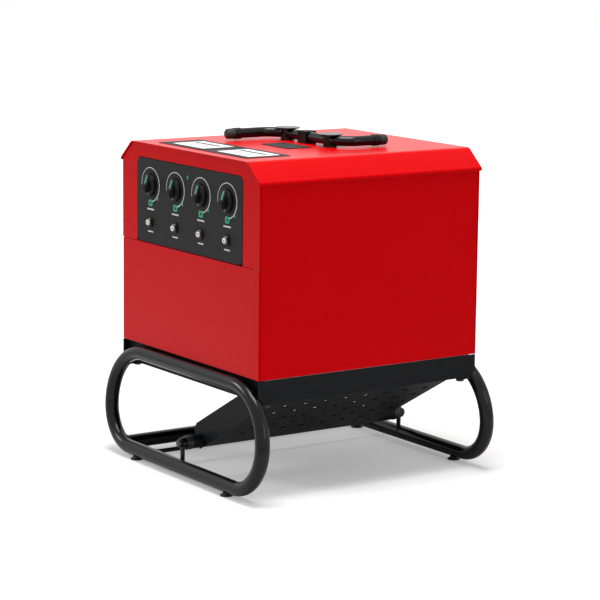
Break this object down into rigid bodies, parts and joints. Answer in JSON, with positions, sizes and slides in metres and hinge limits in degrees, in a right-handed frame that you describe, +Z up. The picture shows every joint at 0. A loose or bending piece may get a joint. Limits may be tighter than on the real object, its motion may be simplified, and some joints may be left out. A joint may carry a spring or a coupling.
{
  "type": "electric air mover",
  "caption": "Boxy electric air mover on two tube loops, with a control panel of rotary knobs and reset buttons, a tilting perforated deflector below and a handle on top.",
  "frame": {"origin": "centre of the bounding box on the floor, under the feet", "axes": "+Z up, the control panel faces -Y, +X to the right seen from the front"},
  "size_m": [0.53, 0.518, 0.6012],
  "materials": {
    "red_powder_coat": "smooth gloss powder coat",
    "black_powder_coat": "fine satin powder coat",
    "black_tube_enamel": "semi-gloss enamel on round tube",
    "black_plastic": "moulded satin plastic",
    "white_plastic": "moulded gloss plastic",
    "black_rubber": "moulded rubber",
    "charcoal_plate": "screen-printed matte plate",
    "impeller_plastic": "glass-filled plastic",
    "stainless_steel": "drawn stainless steel",
    "zinc_steel": "bright zinc-plated steel"
  },
  "bodies": {
    "frame": {"base_tray": "black_powder_coat", "outlet_guard": "zinc_steel", "front_lower_panel": "red_powder_coat", "front_upper_frame": "red_powder_coat", "side_panel_left": "red_powder_coat", "side_panel_right": "red_powder_coat", "rear_panel": "red_powder_coat", "rear_grille": "black_powder_coat", "rear_screws": "zinc_steel", "top_hood": "red_powder_coat", "corner_posts": "zinc_steel", "control_panel": "charcoal_plate", "thermostats": "black_plastic", "breakers": "black_plastic", "button_collars": "black_plastic", "front_loop": "black_tube_enamel", "rear_loop": "black_tube_enamel", "loop_tabs": "black_tube_enamel", "frame_bolts": "zinc_steel", "frame_nuts": "zinc_steel", "feet": "black_rubber", "foot_screws": "zinc_steel", "cross_tube": "black_tube_enamel", "tie_rod": "black_tube_enamel", "pivot_posts": "black_tube_enamel", "pivot_bolts": "black_tube_enamel", "pivot_washers": "black_tube_enamel", "handle_bar": "black_tube_enamel", "handle_end_plugs": "black_rubber", "handle_collars": "black_tube_enamel", "handle_posts": "black_tube_enamel", "handle_caps": "black_tube_enamel", "handle_sleeve": "black_plastic", "handle_screws": "zinc_steel", "top_labels": "charcoal_plate", "blank_plate": "charcoal_plate", "fan_shroud": "zinc_steel", "fan_motor": "stainless_steel", "motor_bracket": "zinc_steel", "heater_elements": "stainless_steel", "heater_rails": "zinc_steel", "cord_glands": "black_plastic"},
    "knob_1": {"knob_1": "black_plastic", "spindle_1": "zinc_steel"},
    "reset_1": {"reset_button_1": "white_plastic"},
    "knob_2": {"knob_2": "black_plastic", "spindle_2": "zinc_steel"},
    "reset_2": {"reset_button_2": "white_plastic"},
    "knob_3": {"knob_3": "black_plastic", "spindle_3": "zinc_steel"},
    "reset_3": {"reset_button_3": "white_plastic"},
    "knob_4": {"knob_4": "black_plastic", "spindle_4": "zinc_steel"},
    "reset_4": {"reset_button_4": "white_plastic"},
    "fan": {"fan_impeller": "impeller_plastic", "motor_shaft": "zinc_steel"},
    "deflector": {"deflector": "black_powder_coat", "pivot_tube": "black_powder_coat"}
  },
  "joints": [
    {"name": "knob_1_turn", "type": "hinge", "parent": "frame", "child": "knob_1", "pos_m": [-0.12675, -0.2321, 0.5051], "axis": [0, -1, 0], "range_deg": [-160, 120]},
    {"name": "knob_2_turn", "type": "hinge", "parent": "frame", "child": "knob_2", "pos_m": [-0.04225, -0.2321, 0.5051], "axis": [0, -1, 0], "range_deg": [-160, 120]},
    {"name": "knob_3_turn", "type": "hinge", "parent": "frame", "child": "knob_3", "pos_m": [0.04225, -0.2321, 0.5051], "axis": [0, -1, 0], "range_deg": [-160, 120]},
    {"name": "knob_4_turn", "type": "hinge", "parent": "frame", "child": "knob_4", "pos_m": [0.12675, -0.2321, 0.5051], "axis": [0, -1, 0], "range_deg": [-160, 120]},
    {"name": "reset_1_press", "type": "slide", "parent": "frame", "child": "reset_1", "axis": [0, 1, 0], "range_m": [0, 0.0035], "stiffness_N_per_m": 400},
    {"name": "reset_2_press", "type": "slide", "parent": "frame", "child": "reset_2", "axis": [0, 1, 0], "range_m": [0, 0.0035], "stiffness_N_per_m": 400},
    {"name": "reset_3_press", "type": "slide", "parent": "frame", "child": "reset_3", "axis": [0, 1, 0], "range_m": [0, 0.0035], "stiffness_N_per_m": 400},
    {"name": "reset_4_press", "type": "slide", "parent": "frame", "child": "reset_4", "axis": [0, 1, 0], "range_m": [0, 0.0035], "stiffness_N_per_m": 400},
    {"name": "fan_spin", "type": "hinge", "parent": "frame", "child": "fan", "pos_m": [0, 0.008, 0.383], "axis": [0, 0, 1], "continuous": true},
    {"name": "deflector_tilt", "type": "hinge", "parent": "frame", "child": "deflector", "pos_m": [-0.0065, 0, 0.0585], "axis": [0, 1, 0], "range_deg": [0, 30]}
  ]
}
